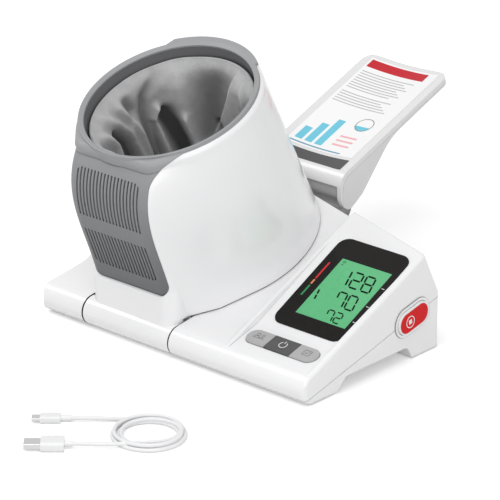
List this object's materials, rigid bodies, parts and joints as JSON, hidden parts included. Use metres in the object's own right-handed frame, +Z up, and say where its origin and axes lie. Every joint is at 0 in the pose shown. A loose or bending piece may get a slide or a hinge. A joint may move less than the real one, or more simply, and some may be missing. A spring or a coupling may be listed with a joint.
{
  "type": "arm-in blood pressure monitor",
  "caption": "Table-top blood pressure monitor: tilting cuff drum on a wedge base, display console, stop button, folding instruction tray and coiled charging cable.",
  "frame": {"origin": "on the table, under the middle of the monitor's bounding box without the charging cable", "axes": "+X to the user's right, +Y away from the user, +Z up"},
  "size_m": [0.2966, 0.5648, 0.2322],
  "materials": {
    "shell_white": "glossy moulded ABS",
    "tray_white": "glossy moulded ABS",
    "tray_grey": "fine matt texture",
    "lens_black": "polished smoked acrylic",
    "lcd_green": "backlit segment glass",
    "circuit_board": "solder mask",
    "key_grey": "satin",
    "key_dark": "satin",
    "key_rubber": "silicone",
    "bezel_white": "glossy",
    "stop_red": "satin gloss",
    "switch_black": "matt",
    "pin_steel": "ground",
    "screw_steel": "plain",
    "washer_nylon": "natural nylon",
    "grille_grey": "fine matt texture",
    "ring_grey": "satin",
    "sleeve_grey": "matt",
    "bladder_rubber": "smooth",
    "liner_cloth": "soft woven nylon",
    "pump_metal": "drawn can",
    "valve_metal": "drawn can",
    "manifold_plastic": "natural",
    "label_print": "printed film",
    "strip_dark": "matt",
    "bracket_grey": "fine matt texture",
    "battery_wrap": "shrink film",
    "plug_metal": "nickel plate",
    "plug_white": "soft gloss",
    "cord_white": "smooth TPE",
    "foot_rubber": "matt",
    "tongue_blue": "moulded"
  },
  "bodies": {
    "base": {"base_top_cover": "shell_white", "base_bottom_cover": "shell_white", "display_lens": "lens_black", "lcd_panel": "lcd_green", "main_board": "circuit_board", "key_mat": "key_rubber", "key_board": "circuit_board", "stop_button_bezel": "bezel_white", "stop_switch": "switch_black", "hinge_pin": "pin_steel", "hinge_washers": "washer_nylon", "tray_bracket": "bracket_grey", "battery_pack": "battery_wrap", "usb_c_socket": "plug_metal", "rubber_feet": "foot_rubber", "base_screws": "screw_steel", "cable_coil": "cord_white", "usb_c_shell": "plug_metal", "usb_c_grip": "plug_white", "cable_tail_c": "cord_white", "usb_a_shell": "plug_metal", "usb_a_grip": "plug_white", "cable_tail_a": "cord_white", "usb_a_tongue": "tongue_blue"},
    "drum": {"drum_shell": "shell_white", "grille_panel": "grille_grey", "ring_frame": "ring_grey", "inner_sleeve": "sleeve_grey", "air_bladder": "bladder_rubber", "cuff_liner": "liner_cloth", "drum_floor": "sleeve_grey", "air_pump": "pump_metal", "release_valve": "valve_metal", "air_manifold": "manifold_plastic", "pressure_board": "circuit_board", "drum_screws": "screw_steel"},
    "tray": {"tray_top": "tray_white", "tray_under": "tray_grey", "tray_label": "label_print", "tray_strip": "strip_dark", "tray_pin": "pin_steel"},
    "left_key": {"left_button": "key_grey"},
    "power_key": {"power_button": "key_dark"},
    "right_key": {"right_button": "key_grey"},
    "stop_key": {"stop_button": "stop_red"}
  },
  "joints": [
    {"name": "cuff_tilt", "type": "hinge", "parent": "base", "child": "drum", "pos_m": [-0.0495, -0.1606, 0.0136], "axis": [1, 0, 0], "range_deg": [0, 40]},
    {"name": "tray_fold", "type": "hinge", "parent": "base", "child": "tray", "pos_m": [-0.045, 0.0556, 0.084], "axis": [1, 0, 0], "range_deg": [0, 85]},
    {"name": "left_button_press", "type": "slide", "parent": "base", "child": "left_key", "axis": [0, 0.2689, -0.9632], "range_m": [0, 0.001], "stiffness_N_per_m": 800},
    {"name": "power_button_press", "type": "slide", "parent": "base", "child": "power_key", "axis": [0, 0.2689, -0.9632], "range_m": [0, 0.001], "stiffness_N_per_m": 800},
    {"name": "right_button_press", "type": "slide", "parent": "base", "child": "right_key", "axis": [0, 0.2689, -0.9632], "range_m": [0, 0.001], "stiffness_N_per_m": 800},
    {"name": "stop_button_press", "type": "slide", "parent": "base", "child": "stop_key", "axis": [-1, 0, 0], "range_m": [0, 0.0012], "stiffness_N_per_m": 1500}
  ]
}
